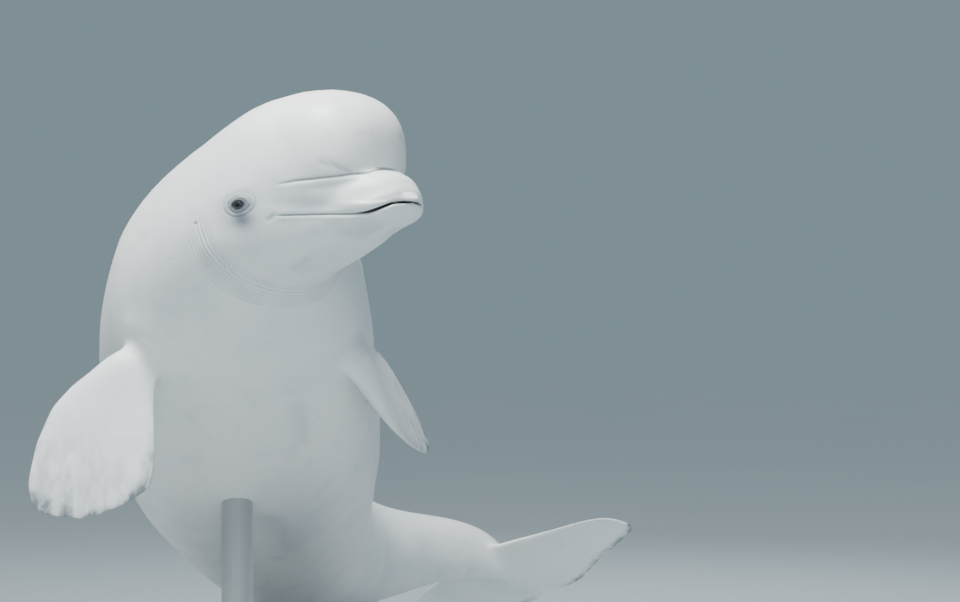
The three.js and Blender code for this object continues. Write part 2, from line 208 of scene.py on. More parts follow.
def smooth_curve(rows, column=1):
    """A smooth curve through rows of x and values, without overshoot."""
    xs = np.array([row[0] for row in rows], float)
    ys = np.array([row[column] for row in rows], float)
    slopes = np.diff(ys) / np.diff(xs)
    before, after = slopes[:-1], slopes[1:]
    total = np.where(before + after == 0, 1, before + after)
    inner = np.where(before * after > 0, 2 * before * after / total, 0)
    tangents = np.concatenate([slopes[:1], inner, slopes[-1:]])

    def value(x):
        x = np.clip(x, xs[0], xs[-1])
        i = np.clip(np.searchsorted(xs, x, side="right") - 1, 0, len(xs) - 2)
        width = xs[i + 1] - xs[i]
        t = (x - xs[i]) / width
        s = 1 - t
        ends = ys[i] * (1 + 2 * t) * s * s + ys[i + 1] * (3 - 2 * t) * t * t
        return ends + width * t * s * (tangents[i] * s - tangents[i + 1] * t)

    return value


def fade(start, end, x):
    """Runs smoothly from 0 at start to 1 at end, in either direction."""
    t = np.clip((x - start) / (end - start), 0, 1)
    return t * t * (3 - 2 * t)


def bump(distance, width):
    """A soft hump that is 1 in its middle and about a third at its width."""
    return np.exp(-((distance / width) ** 2))


half_width = smooth_curve(GIRTH, 1)
reach_up = smooth_curve(GIRTH, 2)
reach_down = smooth_curve(GIRTH, 3)
mouth_height = smooth_curve(MOUTH_LINE)


def lip_swell(x, z):
    """How far the upper and the lower lip stand out along the mouth line."""
    near = fade(170, 60, x)
    rise = z - mouth_height(x)
    return near * (6 * bump(rise - 20, 15) + 5 * bump(rise + 13, 10))


def brow_and_cheek(x, z):
    """How far the head stands out round the eye and at the cheek."""
    from_eye = np.hypot(x - EYE[0], z - EYE[1])
    from_cheek = np.hypot(x - CHEEK[0], (z - CHEEK[1]) * 0.8)
    return 5 * bump(from_eye, 42) + 7 * bump(from_cheek, 75)


def outside(x, y, z):
    """About how far a point lies outside the straight body; negative inside."""
    at = np.maximum(x, 3)
    w = half_width(at)
    h = np.where(z > 0, reach_up(at), reach_down(at))
    power = BEAK_SQUARENESS + (2 - BEAK_SQUARENESS) * fade(180, 520, x)
    across = (np.abs(y / w) ** power + np.abs(z / h) ** power) ** (1 / power)
    trunk = (across - 1) * np.minimum(w, h) + (at - x)
    rise, middle, length, width = RIDGE
    ridge = np.where(z > 0, rise * bump(x - middle, length) * bump(y, width), 0)
    cx, cy, cz = MELON_CENTRE
    rx, ry, rz = MELON_RADII
    q = (
        np.abs((x - cx) / rx) ** MELON_SQUARENESS
        + np.abs((y - cy) / ry) ** MELON_SQUARENESS
        + np.abs((z - cz) / rz) ** MELON_SQUARENESS
    )
    melon = (q ** (1 / MELON_SQUARENESS) - 1) * rz
    k = CREASE_BLEND + (NAPE_BLEND - CREASE_BLEND) * fade(100, 340, x)
    mix = np.clip(0.5 + 0.5 * (trunk - melon) / k, 0, 1)
    joined = trunk + (melon - trunk) * mix - k * mix * (1 - mix)
    head = joined - lip_swell(x, z) - brow_and_cheek(x, z)
    return np.where(x > TRUNK_X, trunk - ridge, head)


SLOPE_STEP = 0.4


def gradient(points):
    """The direction in which a point leaves the straight body."""
    steps = SLOPE_STEP * np.eye(3)
    sides = [outside(*(points + step).T) - outside(*(points - step).T) for step in steps]
    return np.stack(sides, 1) / (2 * SLOPE_STEP)


RAY_STEP = 6.0
RAY_REACH = 560
RAY_HALVINGS = 22


def skin_points(origin, direction):
    """The outermost points of the body along rays from inside it, as rows of x, y and z."""

    def at(r):
        return origin + direction * r[:, None]

    reach = np.zeros(len(origin))
    for r in np.arange(RAY_STEP, RAY_REACH, RAY_STEP):
        here = at(np.full(len(origin), r))
        reach = np.where(outside(*here.T) <= 0, r, reach)
    near, far = reach, reach + RAY_STEP
    for _ in range(RAY_HALVINGS):
        middle = (near + far) / 2
        out = outside(*at(middle).T) > 0
        far = np.where(out, middle, far)
        near = np.where(out, near, middle)
    return at(far)


def ring_angles():
    """Turns round the body, close together along the mouth and the eyes."""
    steps = [0, 0.35, 0.7, 1.1, 1.6, 2.2, 3, 4, 5.2, 6.6, 8.2, 10, 12, 14.2, 16.6, 19.2, 22]
    steps += [25, 28.2, 31.6, 35.2, 39, 43, 47.2, 51.5, 56, 60.5, 65, 70, 75, 80, 85]
    quarter = np.radians(steps)
    half = np.concatenate([quarter, [math.pi / 2], (math.pi - quarter)[::-1]])
    return np.concatenate([half, -half[::-1][1:-1]])


def mouth_lift():
    """The height of the mouth line for each lean of a ray in the fan over the front of the head."""
    x = np.linspace(0.5, HEAD_CORE_X, 120)
    origin = np.stack([x, 0 * x, mouth_height(x)], 1)
    side = skin_points(origin, np.tile([0.0, 1.0, 0.0], (len(x), 1)))
    lean = np.arctan2(side[:, 1], HEAD_CORE_X - x)
    return lambda value: np.interp(value, lean, mouth_height(x))


FAN_LEANS = [[0.02], np.arange(0.4, 10, 0.42), np.arange(10.2, 90, 1.08)]  # degrees
RING_STEPS = [
    # from x, to x, step
    (HEAD_CORE_X, 300, 4),
    (300, 350, 2.5),
    (350, 474, 1.7),
    (474, 500, 4),
    (500, 620, 8),
    (620, 3500, 34),
    (3500, 3880, 12),
    (3880, 3900, 6.5),
]


def body_rays():
    """Origins and directions of the rays, ring by ring."""
    lift = mouth_lift()
    turn = ring_angles()
    rings = []
    for lean in np.radians(np.concatenate(FAN_LEANS)):
        rings.append((HEAD_CORE_X, lift(lean), lean))
    slices = []
    for start, end, step in RING_STEPS:
        slices += list(np.arange(start, end, step))
    for x in slices:
        height = mouth_height(x) * (1 - fade(280, 430, x))
        rings.append((x, height, math.pi / 2))
    origin, direction = [], []
    for x, height, lean in rings:
        origin.append(np.tile([x, 0, height], (len(turn), 1)))
        side = [np.full(len(turn), -math.cos(lean)), math.sin(lean) * np.cos(turn)]
        direction.append(np.stack([*side, math.sin(lean) * np.sin(turn)], 1))
    return np.array(origin), np.array(direction)


# The bent spine


def spine_frames():
    """At each step along the spine: its place, and the directions of the left side and the back."""
    x = np.arange(SPINE_START, SPINE_END, SPINE_STEP, dtype=float)
    heading, descent, roll = (np.radians(smooth_curve(SPINE, column)(x)) for column in (1, 2, 3))
    tail = np.stack(
        [np.sin(heading) * np.cos(descent), np.cos(heading) * np.cos(descent), -np.sin(descent)], 1
    )
    level = np.stack([np.cos(heading), -np.sin(heading), 0 * x], 1)
    above = np.cross(level, tail)
    left = level * np.cos(roll)[:, None] + above * np.sin(roll)[:, None]
    place = np.concatenate([[[0, 0, 0]], np.cumsum(tail * SPINE_STEP, 0)[:-1]])
    return place, left, np.cross(left, tail)


PLACE, LEFT, BACK = spine_frames()


def bend(points):
    """Carries points of the straight body onto the bent spine, still in millimetres."""
    points = np.atleast_2d(np.asarray(points, float))
    along = (points[:, 0] - SPINE_START) / SPINE_STEP
    i = np.clip(np.floor(along).astype(int), 0, len(PLACE) - 2)
    t = (along - i)[:, None]
    place, left, back = (rows[i] * (1 - t) + rows[i + 1] * t for rows in (PLACE, LEFT, BACK))
    return place + left * points[:, 1:2] + back * points[:, 2:3]


def eye_centre(sign):
    """The middle of an eyeball, a little under the skin, in body coordinates."""
    out = np.array([[0.0, sign, 0.0]])
    on_skin = skin_points(np.array([[EYE[0], 0.0, EYE[1]]]), out)
    return on_skin - out * EYE_DEPTH


def eye_axis(sign):
    """The direction in which an eye looks out of the skin."""
    slope = gradient(eye_centre(sign) + [[0, sign * EYE_DEPTH, 0]])[0]
    return slope / np.linalg.norm(slope)


def wrap_lids(points, sign):
    """Draws the skin round an eye over its eyeball, and under it inside the opening.

    Returns the moved points and how far each lies inside the opening, from 0 to 1; there the skin
    is painted near black, as shade under the lids.
    """
    centre, axis = eye_centre(sign)[0], eye_axis(sign)
    upward = np.array([0, 0, 1]) - axis * axis[2]
    upward /= np.linalg.norm(upward)
    offset = points - centre
    across = offset @ np.cross(axis, upward) / LID_OPENING[0]
    ratio = np.hypot(across, offset @ upward / LID_OPENING[1])
    distance = np.maximum(np.linalg.norm(offset, axis=1), 1)
    under, lid, rim = 2.5, 3.9, 1.4
    wanted = EYE_RADIUS - under + lid * fade(0.84, 0.98, ratio) + rim * fade(0.98, 1.14, ratio)
    in_front = offset @ axis > 0
    hold = fade(1.8, 1.15, ratio) * in_front
    moved = centre + offset * (1 + (wanted / distance - 1) * hold)[:, None]
    return moved, fade(1.04, 0.98, ratio) * in_front


low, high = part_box("eye_right")
SHIFT = np.array((low + high) / 2) * METRE - bend(eye_centre(-1))[0]


def to_metres(points):
    """Turns bent places into metres in the frame of the solids."""
    return (points + SHIFT) / METRE


# Fine relief of the skin

CREASE_LINE = [
    # x and z of the points of a fold, seen from the side
    (264, 46),
    (248, 49),
    (209, 54),
    (169, 56.5),
    (117, 61.5),
    (91, 66),
    (70, 69),
    (64, 77),
    (66, 85),
]
SECOND_FOLD = [(152, 101), (148, 98.5), (132, 91), (116, 84), (91, 68)]
BROW_FOLD = [(92, 152), (78, 160), (70, 167)]
JAW_FOLD = [(300, -152), (289, -146), (258, -132), (236, -121), (206, -107)]
LIP_FOLD = [(42, -40), (75, -58), (105, -68), (130, -70), (160, -69)]
CHEEK_FOLD = [(296, -36), (283, -31), (273, -22), (268, -12)]
CREASE_INNER = [
    # turn below the side in degrees, x of the foremost neck crease
    (-20, 414),
    (0, 413),
    (17, 410),
    (29, 399),
    (47, 374),
    (75, 352),
    (90, 350),
]
CREASE_OUTER = [(-20, 466), (0, 468), (25, 470), (41, 470), (60, 462), (86, 449), (90, 448)]
CREASE_COUNT = 9
BELLY_FOLDS = [
    # x and y of the points of a fold, its width, and the shares of it over which it fades
    ([(860, 92), (900, 99), (1010, 114), (1062, 112), (1110, 88)], 20, 0.3, 0.3),
    ([(1330, -60), (1440, 20), (1706, 44), (2149, 61)], 30, 0.25, 0.4),
]
NAVEL_X = 1820
SLIT_ENDS = (2440, 2500, 2620, 2680)  # where the slit under the belly starts and ends to fade


def from_line(x, z, line):
    """Distance from a broken line, and how far along it the nearest point lies, from 0 to 1."""
    nearest = np.full(x.shape, 1e9)
    along = np.zeros(x.shape)
    pieces = list(zip(line[:-1], line[1:]))
    for i, ((x0, z0), (x1, z1)) in enumerate(pieces):
        dx, dz = x1 - x0, z1 - z0
        t = np.clip(((x - x0) * dx + (z - z0) * dz) / (dx * dx + dz * dz), 0, 1)
        distance = np.hypot(x - x0 - t * dx, z - z0 - t * dz)
        closer = distance < nearest
        nearest = np.where(closer, distance, nearest)
        along = np.where(closer, (i + t) / len(pieces), along)
    return nearest, along


def fold(x, z, line, width, start=0.18, end=0.18):
    """Strength of a fold along a line seen from the side, fading out at its two ends."""
    distance, along = from_line(x, z, line)
    return bump(distance, width) * fade(0, start, along) * fade(1, 1 - end, along)


def ripple(x, y, z, size, seed):
    """A soft, aimless wave, mostly between -1 and 1 and about size long."""
    rng = np.random.default_rng(seed)
    total = 0
    for _ in range(7):
        way = rng.normal(size=3)
        way *= rng.uniform(0.7, 1.5) * 2 * math.pi / (size * np.linalg.norm(way))
        total = total + np.sin(x * way[0] + y * way[1] + z * way[2] + rng.uniform(0, 6.28))
    return total / 4.0


def mouth_groove(x, z):
    """Height above the mouth line, and how much of the groove there is at x."""
    return z - mouth_height(x), fade(MOUTH_CORNER, MOUTH_CORNER - 26, x)


def neck_creases(x, y, z):
    """Fine creases that fan out below the jaw, where the head bends against the neck."""
    turn = np.degrees(np.arctan2(-z, np.abs(y)))
    inner = smooth_curve(CREASE_INNER)(turn)
    outer = smooth_curve(CREASE_OUTER)(turn)
    share = (x - inner) / (outer - inner)
    wobble = 0.10 * ripple(x, y, z, 120, 5) + 0.05 * ripple(x, y, z, 45, 6)
    phase = 2 * math.pi * (CREASE_COUNT * share + 2.2 * wobble + 0.35 * np.sin(share * 9))
    valley = (0.5 + 0.5 * np.cos(phase)) ** 3
    window = fade(-0.1, 0.12, share) * fade(1.12, 0.86, share) * fade(-10, 8, turn)
    fray = np.clip(0.78 + 0.55 * ripple(x, y, z, 75, 9), 0.1, 1)
    return window * fray * valley


def eye_relief(x, z):
    """Height of the swelling and folds round an eye, and the strength of its folds."""
    dx, dz = x - EYE_OPENING[0], z - EYE_OPENING[1]
    droop = dz + 0.08 * dx
    ratio = np.hypot(dx / LID_OPENING[0], droop / LID_OPENING[1])
    above = fade(-0.3, 0.5, dz / 12)
    arcs = above * (bump(ratio - 1.72, 0.13) + 0.6 * bump(ratio - 2.4, 0.16))
    under = fade(0.2, -0.5, dz / 12)
    arcs = arcs + under * (0.9 * bump(ratio - 1.65, 0.14) + 0.7 * bump(ratio - 2.35, 0.2))
    lid_edge = bump(ratio - 1.02, 0.13)
    return 3.4 * bump(ratio - 1.2, 0.6) - 1.7 * arcs, np.clip(arcs + lid_edge, 0, 1)


def belly_folds(x, y, z):
    """Two long, soft folds along the belly."""
    folds = [fold(x, y, *shape) for shape in BELLY_FOLDS]
    return fade(-150, -220, z) * (folds[0] + folds[1])


def limb_folds(x, y, z):
    """A soft swelling and fine folds of skin where each flipper leaves the chest."""
    total = 0
    for made in FLIPPERS.values():
        rx, ry, rz = made["root"]
        away = np.sqrt((x - rx) ** 2 + (y - ry) ** 2 + (z - rz) ** 2)
        ahead = fade(40, -50, x - rx) * fade(-90, 0, z - rz + 60)
        arcs = np.cos(away / 2.1 + 3.0 * ripple(x, y, z, 90, 12)) * bump(away - 92, 20)
        total = total + 7 * bump(away - 70, 38) * ahead + 0.6 * arcs * ahead
    return total


def relief(x, y, z):
    """How far the skin stands out from the smooth body, and the masks of the shade painted into its
    colour.
    """
    side = fade(12, 30, np.abs(y))
    rise, reach = mouth_groove(x, z)
    front = fade(95, 45, x)
    groove = reach * bump(rise, 1.7 + 1.3 * front)
    near_front = 0.45 + 0.55 * fade(190, 50, x)
    lips = reach * (2.6 * bump(rise - 8, 6) + 2.2 * bump(rise + 7, 5.5)) * near_front
    crease = fold(x, z, CREASE_LINE, 2.7, 0.3, 0.001)
    below_crease = fold(x, z + 9, CREASE_LINE, 8, 0.35, 0.001)
    second = fold(x, z, SECOND_FOLD, 4.4, 0.35, 0.1) * side
    brow = fold(x, z, BROW_FOLD, 4, 0.4, 0.4)
    jaw = fold(x, z, JAW_FOLD, 5, 0.35, 0.35) * side
    cushion = bump(z - 18, 24) * fade(48, 105, x) * fade(270, 170, x)
    lip = fold(x, z, LIP_FOLD, 10, 0.3, 0.4) * side
    cheek = fold(x, z, CHEEK_FOLD, 5, 0.4, 0.4) * side
    creases = neck_creases(x, y, z)
    ear = bump(np.hypot(x - EAR[0], z - EAR[1]), 3.6)
    by_eye = (x < 700) & (np.abs(y) > SIDE_Y)
    lids, eye_folds = eye_relief(x, z)
    lids = np.where(by_eye, lids, 0)
    eye_folds = np.where(by_eye, eye_folds, 0)
    hole_turn = np.abs(np.arctan2(y, x - BLOWHOLE_X))
    from_hole = np.hypot(x - BLOWHOLE_X, y)
    on_top = z > HEAD_TOP_Z
    hole = bump(from_hole - BLOWHOLE_RADIUS, 2.6) * fade(1.75, 1.3, hole_turn) * on_top
    plug = bump(from_hole, 22) * on_top
    slit_from, slit_full, slit_fading, slit_to = SLIT_ENDS
    slit = bump(y - 6 * np.sin(x / 90), 7) * (z < 0)
    slit = slit * fade(slit_from, slit_full, x) * fade(slit_to, slit_fading, x)
    navel = bump(np.hypot((x - NAVEL_X) / 2.0, y), 14) * (z < 0)
    belly = belly_folds(x, y, z)
    skin_waves = 1.1 * ripple(x, y, z, 210, 3) + 0.4 * ripple(x, y, z, 60, 4)
    still = fade(40, 420, x)
    rods = [np.hypot(x - station, y) for station in ROD_STATIONS]
    calm = np.where(z < 0, fade(55, 110, np.minimum(*rods)), 1)
    height = (
        lips
        + 4.5 * cushion
        - (5.0 + 4.5 * front) * groove
        - 3.8 * crease
        + 2.0 * below_crease
        - 2.4 * second
        - 1.2 * brow
        - 3.0 * jaw
        - 2.6 * lip
        - 2.0 * cheek
        - 3.1 * creases
        - 3.0 * ear
        + lids
        - 8.0 * hole
        + 3.0 * plug
        - 5.0 * slit
        - 4.0 * navel
        - 5.0 * belly
        + limb_folds(x, y, z)
        + skin_waves * (0.25 + 0.75 * still)
    )
    # Painted shade: the colour darkens along the mouth groove, folds, creases, ear, blowhole, slit,
    # navel and the folds round the eyes, where shade falls in them
    lines = 0.85 * groove + 0.9 * crease + 0.55 * second + 0.35 * brow + 0.25 * jaw + 0.25 * lip
    lines = lines + 0.6 * creases + 0.8 * ear + hole + 0.4 * slit + 0.3 * navel
    lines = lines + 0.3 * cheek + 0.3 * belly + eye_folds * 0.6
    # Painted shade round each eye and in a patch under it
    eye_distance = np.hypot((x - EYE_OPENING[0]) / 1.1, z - EYE_OPENING[1])
    shade_under_eye = 0.8 * bump(np.hypot(x - UNDER_EYE_SHADE[0], z - UNDER_EYE_SHADE[1]), 24)
    shade_round_eye = 0.7 * bump(eye_distance, 29) + 0.3 * fade(24, 13, eye_distance)
    painted_eye_shade = np.where(by_eye, np.maximum(shade_round_eye, shade_under_eye), 0)
    # Painted shade in the mouth groove, darkest at the front
    painted_mouth_shade = reach * bump(rise, 1.5 + 1.6 * front) * (0.25 + 0.75 * front)
    return height * calm, np.clip(lines, 0, 1), painted_eye_shade, painted_mouth_shade


# Building the skin

SAME_PLACE = 0.01


def closed_piece(points):
    """A closed piece over rows of points: each row is a ring, the first and last rows are ends."""
    rows, columns = points.shape[:2]
    wrapped = np.concatenate([points, points[:, :1]], 1)
    bm = bmesh.new()
    bmesh.ops.create_grid(bm, x_segments=columns, y_segments=rows - 1, size=1)
    bm.verts.ensure_lookup_table()
    put(bm, wrapped.reshape(-1, 3))
    bmesh.ops.remove_doubles(bm, verts=bm.verts, dist=SAME_PLACE)
    bmesh.ops.recalc_face_normals(bm, faces=bm.faces)
    if bm.calc_volume(signed=True) < 0:
        bmesh.ops.reverse_faces(bm, faces=bm.faces)
    return bm


def coordinates(bm):
    return np.array([vert.co[:] for vert in bm.verts])


def put(bm, places):
    """Moves each vertex to its place."""
    for vert, place in zip(bm.verts, places):
        vert.co = place


def finish_mesh(name, bm):
    mesh = bpy.data.meshes.new(name)
    bm.to_mesh(mesh)
    bm.free()
    piece = bpy.data.objects.new(name, mesh)
    bpy.context.collection.objects.link(piece)
    return piece


def refine(bm, near):
    """Divides the edges whose middle is near something that needs finer skin."""
    edges = list(bm.edges)
    ends = np.array([(*edge.verts[0].co, *edge.verts[1].co) for edge in edges])
    chosen = near(*((ends[:, :3] + ends[:, 3:]) / 2).T)
    picked = [edge for edge, wanted in zip(edges, chosen) if wanted]
    bmesh.ops.subdivide_edges(bm, edges=picked, cuts=1, use_grid_fill=True)


def near_line(line, reach):
    """Near a fold at the front of the head."""
    return lambda x, y, z: (x < 330) & (from_line(x, z, line)[0] < reach)


def near_folds(x, y, z):
    """Between the crease and the second fold under the melon."""
    return (x > 58) & (x < 268) & (z > 34) & (z < 112)


def near_blowhole(x, y, z):
    from_rim = np.abs(np.hypot(x - BLOWHOLE_X, y) - BLOWHOLE_RADIUS)
    return (from_rim < 9) & (x > BLOWHOLE_X - 8) & (z > HEAD_TOP_Z)


def near_eye(reach):
    return lambda x, y, z: (np.hypot(x - EYE[0], z - EYE[1]) < reach) & (np.abs(y) > SIDE_Y)


def near_limb(reach):
    """Near the root of a flipper."""
    roots = [np.array(made["root"], float) for made in FLIPPERS.values()]

    def near(x, y, z):
        away = [np.sqrt((x - r[0]) ** 2 + (y - r[1]) ** 2 + (z - r[2]) ** 2) for r in roots]
        return np.minimum(*away) < reach

    return near


SETTLED_FROM, SETTLED_TO = 12, 3880  # x between which points are settled
SETTLED_MOVE = 4


def settle(points):
    """Moves points that lie a little off the smooth body onto it."""
    for _ in range(2):
        slope = gradient(points)
        steep = (slope**2).sum(1)
        move = np.clip(-outside(*points.T) / np.maximum(steep, 0.05), -SETTLED_MOVE, SETTLED_MOVE)
        move = np.where((points[:, 0] > SETTLED_FROM) & (points[:, 0] < SETTLED_TO), move, 0)
        points = points + slope * move[:, None] * np.where(np.abs(move) < 1e-3, 0, 1)[:, None]
    return points


def straight_body():
    """The body without its limbs, with finer skin round the eyes, blowhole, folds and flippers."""
    origin, direction = body_rays()
    rings, count = origin.shape[:2]
    points = skin_points(origin.reshape(-1, 3), direction.reshape(-1, 3)).reshape(rings, count, 3)
    points[0] = points[0].mean(0)
    stern = np.tile([float(STERN_X), 0.0, 0.0], (1, count, 1))
    bm = closed_piece(np.concatenate([points, stern]))
    for reach in (36, 23, 17.5):
        refine(bm, near_eye(reach))
    for _ in range(2):
        refine(bm, near_blowhole)
    refine(bm, near_folds)
    refine(bm, near_line(CREASE_LINE, 9))
    for reach in (20, 12):
        refine(bm, near_line(JAW_FOLD, reach))
    for reach in (190, 150):
        refine(bm, near_limb(reach))
    return bm


def add_relief(bm):
    """Moves the skin out and in by its relief, and returns the masks of each vertex."""
    places = settle(coordinates(bm))
    put(bm, places)
    bm.normal_update()
    normals = np.array([vert.normal[:] for vert in bm.verts])
    height, lines, painted_eye_shade, inner = relief(*places.T)
    moved = places + normals * height[:, None]
    # The skin inside each eye opening gets the painted shade of the mouth groove
    for sign in (-1, 1):
        moved, inside = wrap_lids(moved, sign)
        inner = np.maximum(inner, inside)
    put(bm, to_metres(bend(moved)))
    return np.stack([lines, painted_eye_shade, inner, 0 * lines], 1)


def only_rim(rim):
    """The masks of a blade, which has only a dark rim."""
    return np.stack([0 * rim, 0 * rim, 0 * rim, rim], 1)


FLUKE_EDGE = 2.4  # half the thickness of the edges
FLIPPER_EDGE = 2.6


def fluke_blade():
    """Both flukes in one thin blade across the tail."""
    share = np.sin(np.linspace(-math.pi / 2, math.pi / 2, 103)[1:-1])
    share = np.sign(share) * np.abs(share) ** 1.15
    y = share * FLUKE_SPAN
    front = BODY_LENGTH + smooth_curve(FLUKE_FRONT)(np.abs(y))
    chord = smooth_curve(FLUKE_BACK)(np.abs(y)) - smooth_curve(FLUKE_FRONT)(np.abs(y))
    t = (1 - np.cos(np.linspace(0, math.pi, 30))) / 2
    thick = (FLUKE_MIDDLE_THICKNESS - FLUKE_TIP_THICKNESS) * (1 - np.abs(share)) ** 1.5
    thick = FLUKE_TIP_THICKNESS + thick
    hump = np.minimum(np.sqrt(t) * (1 - t) * 2.4, 1)
    edge = FLUKE_EDGE * np.sqrt(np.clip(4 * t * (1 - t) * 9, 0, 1))
    half = np.maximum(thick[:, None] / 2 * hump[None, :], edge)
    curl = FLUKE_CURL * np.abs(share)[:, None] ** 2.2
    x = front[:, None] + chord[:, None] * t[None, :]
    across = np.broadcast_to(y[:, None], x.shape)
    ribs = 0.9 * np.sin(across / 17 + 1.2 * np.sin(across / 41)) * fade(0.45, 0.9, t)[None, :]
    ribs = ribs * fade(3, 10, half)
    upper = np.stack([x, across, half + curl + ribs], 2)
    lower = np.stack([x, across, curl - half + ribs], 2)
    rings = np.concatenate([upper, lower[:, -2:0:-1]], 1)
    tip_x = BODY_LENGTH + FLUKE_TIP_X
    tips = [[tip_x, sign * FLUKE_SPAN, FLUKE_CURL] for sign in (-1.0, 1.0)]
    first, last = (np.tile(tip, (1, rings.shape[1], 1)) for tip in tips)
    rings = np.concatenate([first, rings, last])
    bm = closed_piece(rings)
    straight = coordinates(bm)
    put(bm, to_metres(bend(straight)))
    reach = smooth_curve(FLUKE_BACK)(np.abs(straight[:, 1])) + BODY_LENGTH - straight[:, 0]
    outward = fade(30, 120, np.abs(straight[:, 1]))
    return bm, only_rim(bump(reach, 20) * outward)


def flipper_blade(side):
    """A broad paddle that grows from the chest."""
    made = FLIPPERS[side]
    start = bend(made["root"])[0]
    along = np.array(made["along"]) / np.linalg.norm(made["along"])
    ahead = np.array(made["ahead"], float)
    ahead -= along * ahead.dot(along)
    ahead /= np.linalg.norm(ahead)
    up = np.cross(along, ahead)
    inward = bend(made["shoulder"])[0] - start + along * 0.2 * FLIPPER_LENGTH
    share = np.concatenate([np.linspace(-0.2, 0.9, 60), np.linspace(0.91, 1.015, 12)])
    front, behind, thick = (smooth_curve(FLIPPER_OUTLINE, column)(share) for column in (1, 2, 3))
    t = -np.cos(np.linspace(0, math.pi, 32))
    lead = np.sqrt(np.clip(1 - t * t, 0, 1)) * (1 + 0.25 * t)
    edge = FLIPPER_EDGE * np.clip(1 - t**2, 0, 1) ** 0.25
    half = np.maximum(thick[:, None] / 2 * lead, edge)
    across = -behind[:, None] + (front + behind)[:, None] * (t[None, :] + 1) / 2
    notch = 5 * np.sin(share * 95) * fade(0.8, 0.97, share) * (share < 1.0)
    across = across + (notch[:, None] * fade(0.1, -1, t)[None, :])
    bones = 2.2 * np.sin(across / 15 + share[:, None] * 2.0) * fade(0.3, 0.75, share)[:, None]
    bones = bones * fade(3, 12, half)
    folds = 2.0 * np.sin(share * FLIPPER_LENGTH / 6.2 + across.T / 30).T
    folds = folds * (bump(share - 0.02, 0.07)[:, None] * fade(-0.3, 0.6, t)[None, :])
    bent = made["droop"] * share**2
    centre = start + along * (share * FLIPPER_LENGTH)[:, None]
    centre = centre + inward * (fade(0.25, -0.25, share) ** 2)[:, None]
    rows = []
    for sign in (1, -1):
        lift = sign * half - bent[:, None] + bones + folds * sign
        rows.append(centre[:, None] + ahead * across[:, :, None] + up * lift[:, :, None])
    rings = np.concatenate([rows[0], rows[1][:, -2:0:-1]], 1)
    ends = []
    for at, reach in ((-0.22, 0), (1.03, 72)):
        end = start + along * at * FLIPPER_LENGTH + ahead * reach - up * made["droop"] * at**2
        end = end + inward * fade(0.25, -0.25, at) ** 2
        ends.append(np.tile(end, (1, rings.shape[1], 1)))
    rings = np.concatenate([ends[0], rings, ends[1]])
    bm = closed_piece(rings)
    places = coordinates(bm)
    from_root = (places - start) @ along / FLIPPER_LENGTH
    to_side = (places - start) @ ahead
    behind_at = smooth_curve(FLIPPER_OUTLINE, 2)(from_root)
    rim = np.maximum(bump(to_side + behind_at, 26), fade(0.86, 1.0, from_root))
    rim = rim * fade(0.3, 0.6, from_root)
    rim = np.maximum(rim, 0.42 * fade(0.35, 0.95, from_root))
    put(bm, to_metres(places))
    return bm, only_rim(rim)


def shade_smooth(piece):
    for face in piece.data.polygons:
        face.use_smooth = True


def joined_skin():
    """One skin: body, flukes and flippers joined, with the joins smoothed into each other."""
    body = straight_body()
    masks = [add_relief(body)]
    places = [coordinates(body)]
    skin = finish_mesh("whale_skin", body)
    blades = [fluke_blade(), flipper_blade("right"), flipper_blade("left")]
    for bm, mask in blades:
        masks.append(mask)
        places.append(coordinates(bm))
        blade = finish_mesh("blade", bm)
        join = skin.modifiers.new("join", "BOOLEAN")
        join.operation = "UNION"
        join.solver = "EXACT"
        join.object = blade
        graph = bpy.context.evaluated_depsgraph_get()
        mesh = bpy.data.meshes.new_from_object(skin.evaluated_get(graph))
        skin.modifiers.clear()
        skin.data = mesh
        bpy.data.objects.remove(blade)
    smooth_joins(skin, places)
    keep_masks(skin, np.concatenate(places), np.concatenate(masks))
    skin.data.name = "whale_skin"
    shade_smooth(skin)
    return skin


# Lengths in metres, measured on the bent skin
NEW_POINT = 1e-5  # farther from every known point than this, a point was made by a join
BLADE_REACH = 0.03
WELD_REACH = 0.012
WELD_LENGTH = 0.0045
JOIN_SMOOTHING = [
    # reach round a join, rounds of smoothing
    (0.055, 6),
    (0.035, 12),
    (0.02, 12),
]
# The masks of the skin's colour: painted shade in folds and creases, painted shade round and under
# the eyes, painted shade in the mouth groove and eye openings, and the dark rim of the blades
MASKS = ("lines", "painted_eye_shade", "mouth", "rim")


def tree_of(points):
    tree = kdtree.KDTree(len(points))
    for i, place in enumerate(points):
        tree.insert(place, i)
    tree.balance()
    return tree


def smooth_joins(skin, places):
    """Rounds the hollow where a blade meets the body."""
    bm = bmesh.new()
    bm.from_mesh(skin.data)
    known = tree_of(np.concatenate(places))
    blades = tree_of(np.concatenate(places[1:]))
    new = [vert.co.copy() for vert in bm.verts if known.find(vert.co)[2] > NEW_POINT]
    joins = tree_of([place for place in new if blades.find(place)[2] < BLADE_REACH])
    close = [vert for vert in bm.verts if joins.find(vert.co)[2] < WELD_REACH]
    bmesh.ops.remove_doubles(bm, verts=close, dist=WELD_LENGTH)
    for _ in range(3):
        flaps = [face for face in bm.faces if any(edge.is_boundary for edge in face.edges)]
        bmesh.ops.delete(bm, geom=flaps, context="FACES")
    for reach, rounds in JOIN_SMOOTHING:
        near = [vert for vert in bm.verts if joins.find(vert.co)[2] < reach]
        for _ in range(rounds):
            bmesh.ops.smooth_vert(
                bm, verts=near, factor=0.5, use_axis_x=True, use_axis_y=True, use_axis_z=True
            )
    bm.to_mesh(skin.data)
    bm.free()


def keep_masks(skin, places, masks):
    """Stores each mask as an attribute of the skin, from the nearest point where it is known."""
    known = tree_of(places)
    nearest = np.array([known.find(vert.co)[1] for vert in skin.data.vertices])
    for name, values in zip(MASKS, masks[nearest].T):
        layer = skin.data.attributes.new(name, "FLOAT", "POINT")
        layer.data.foreach_set("value", values.astype(np.float32))


# Materials


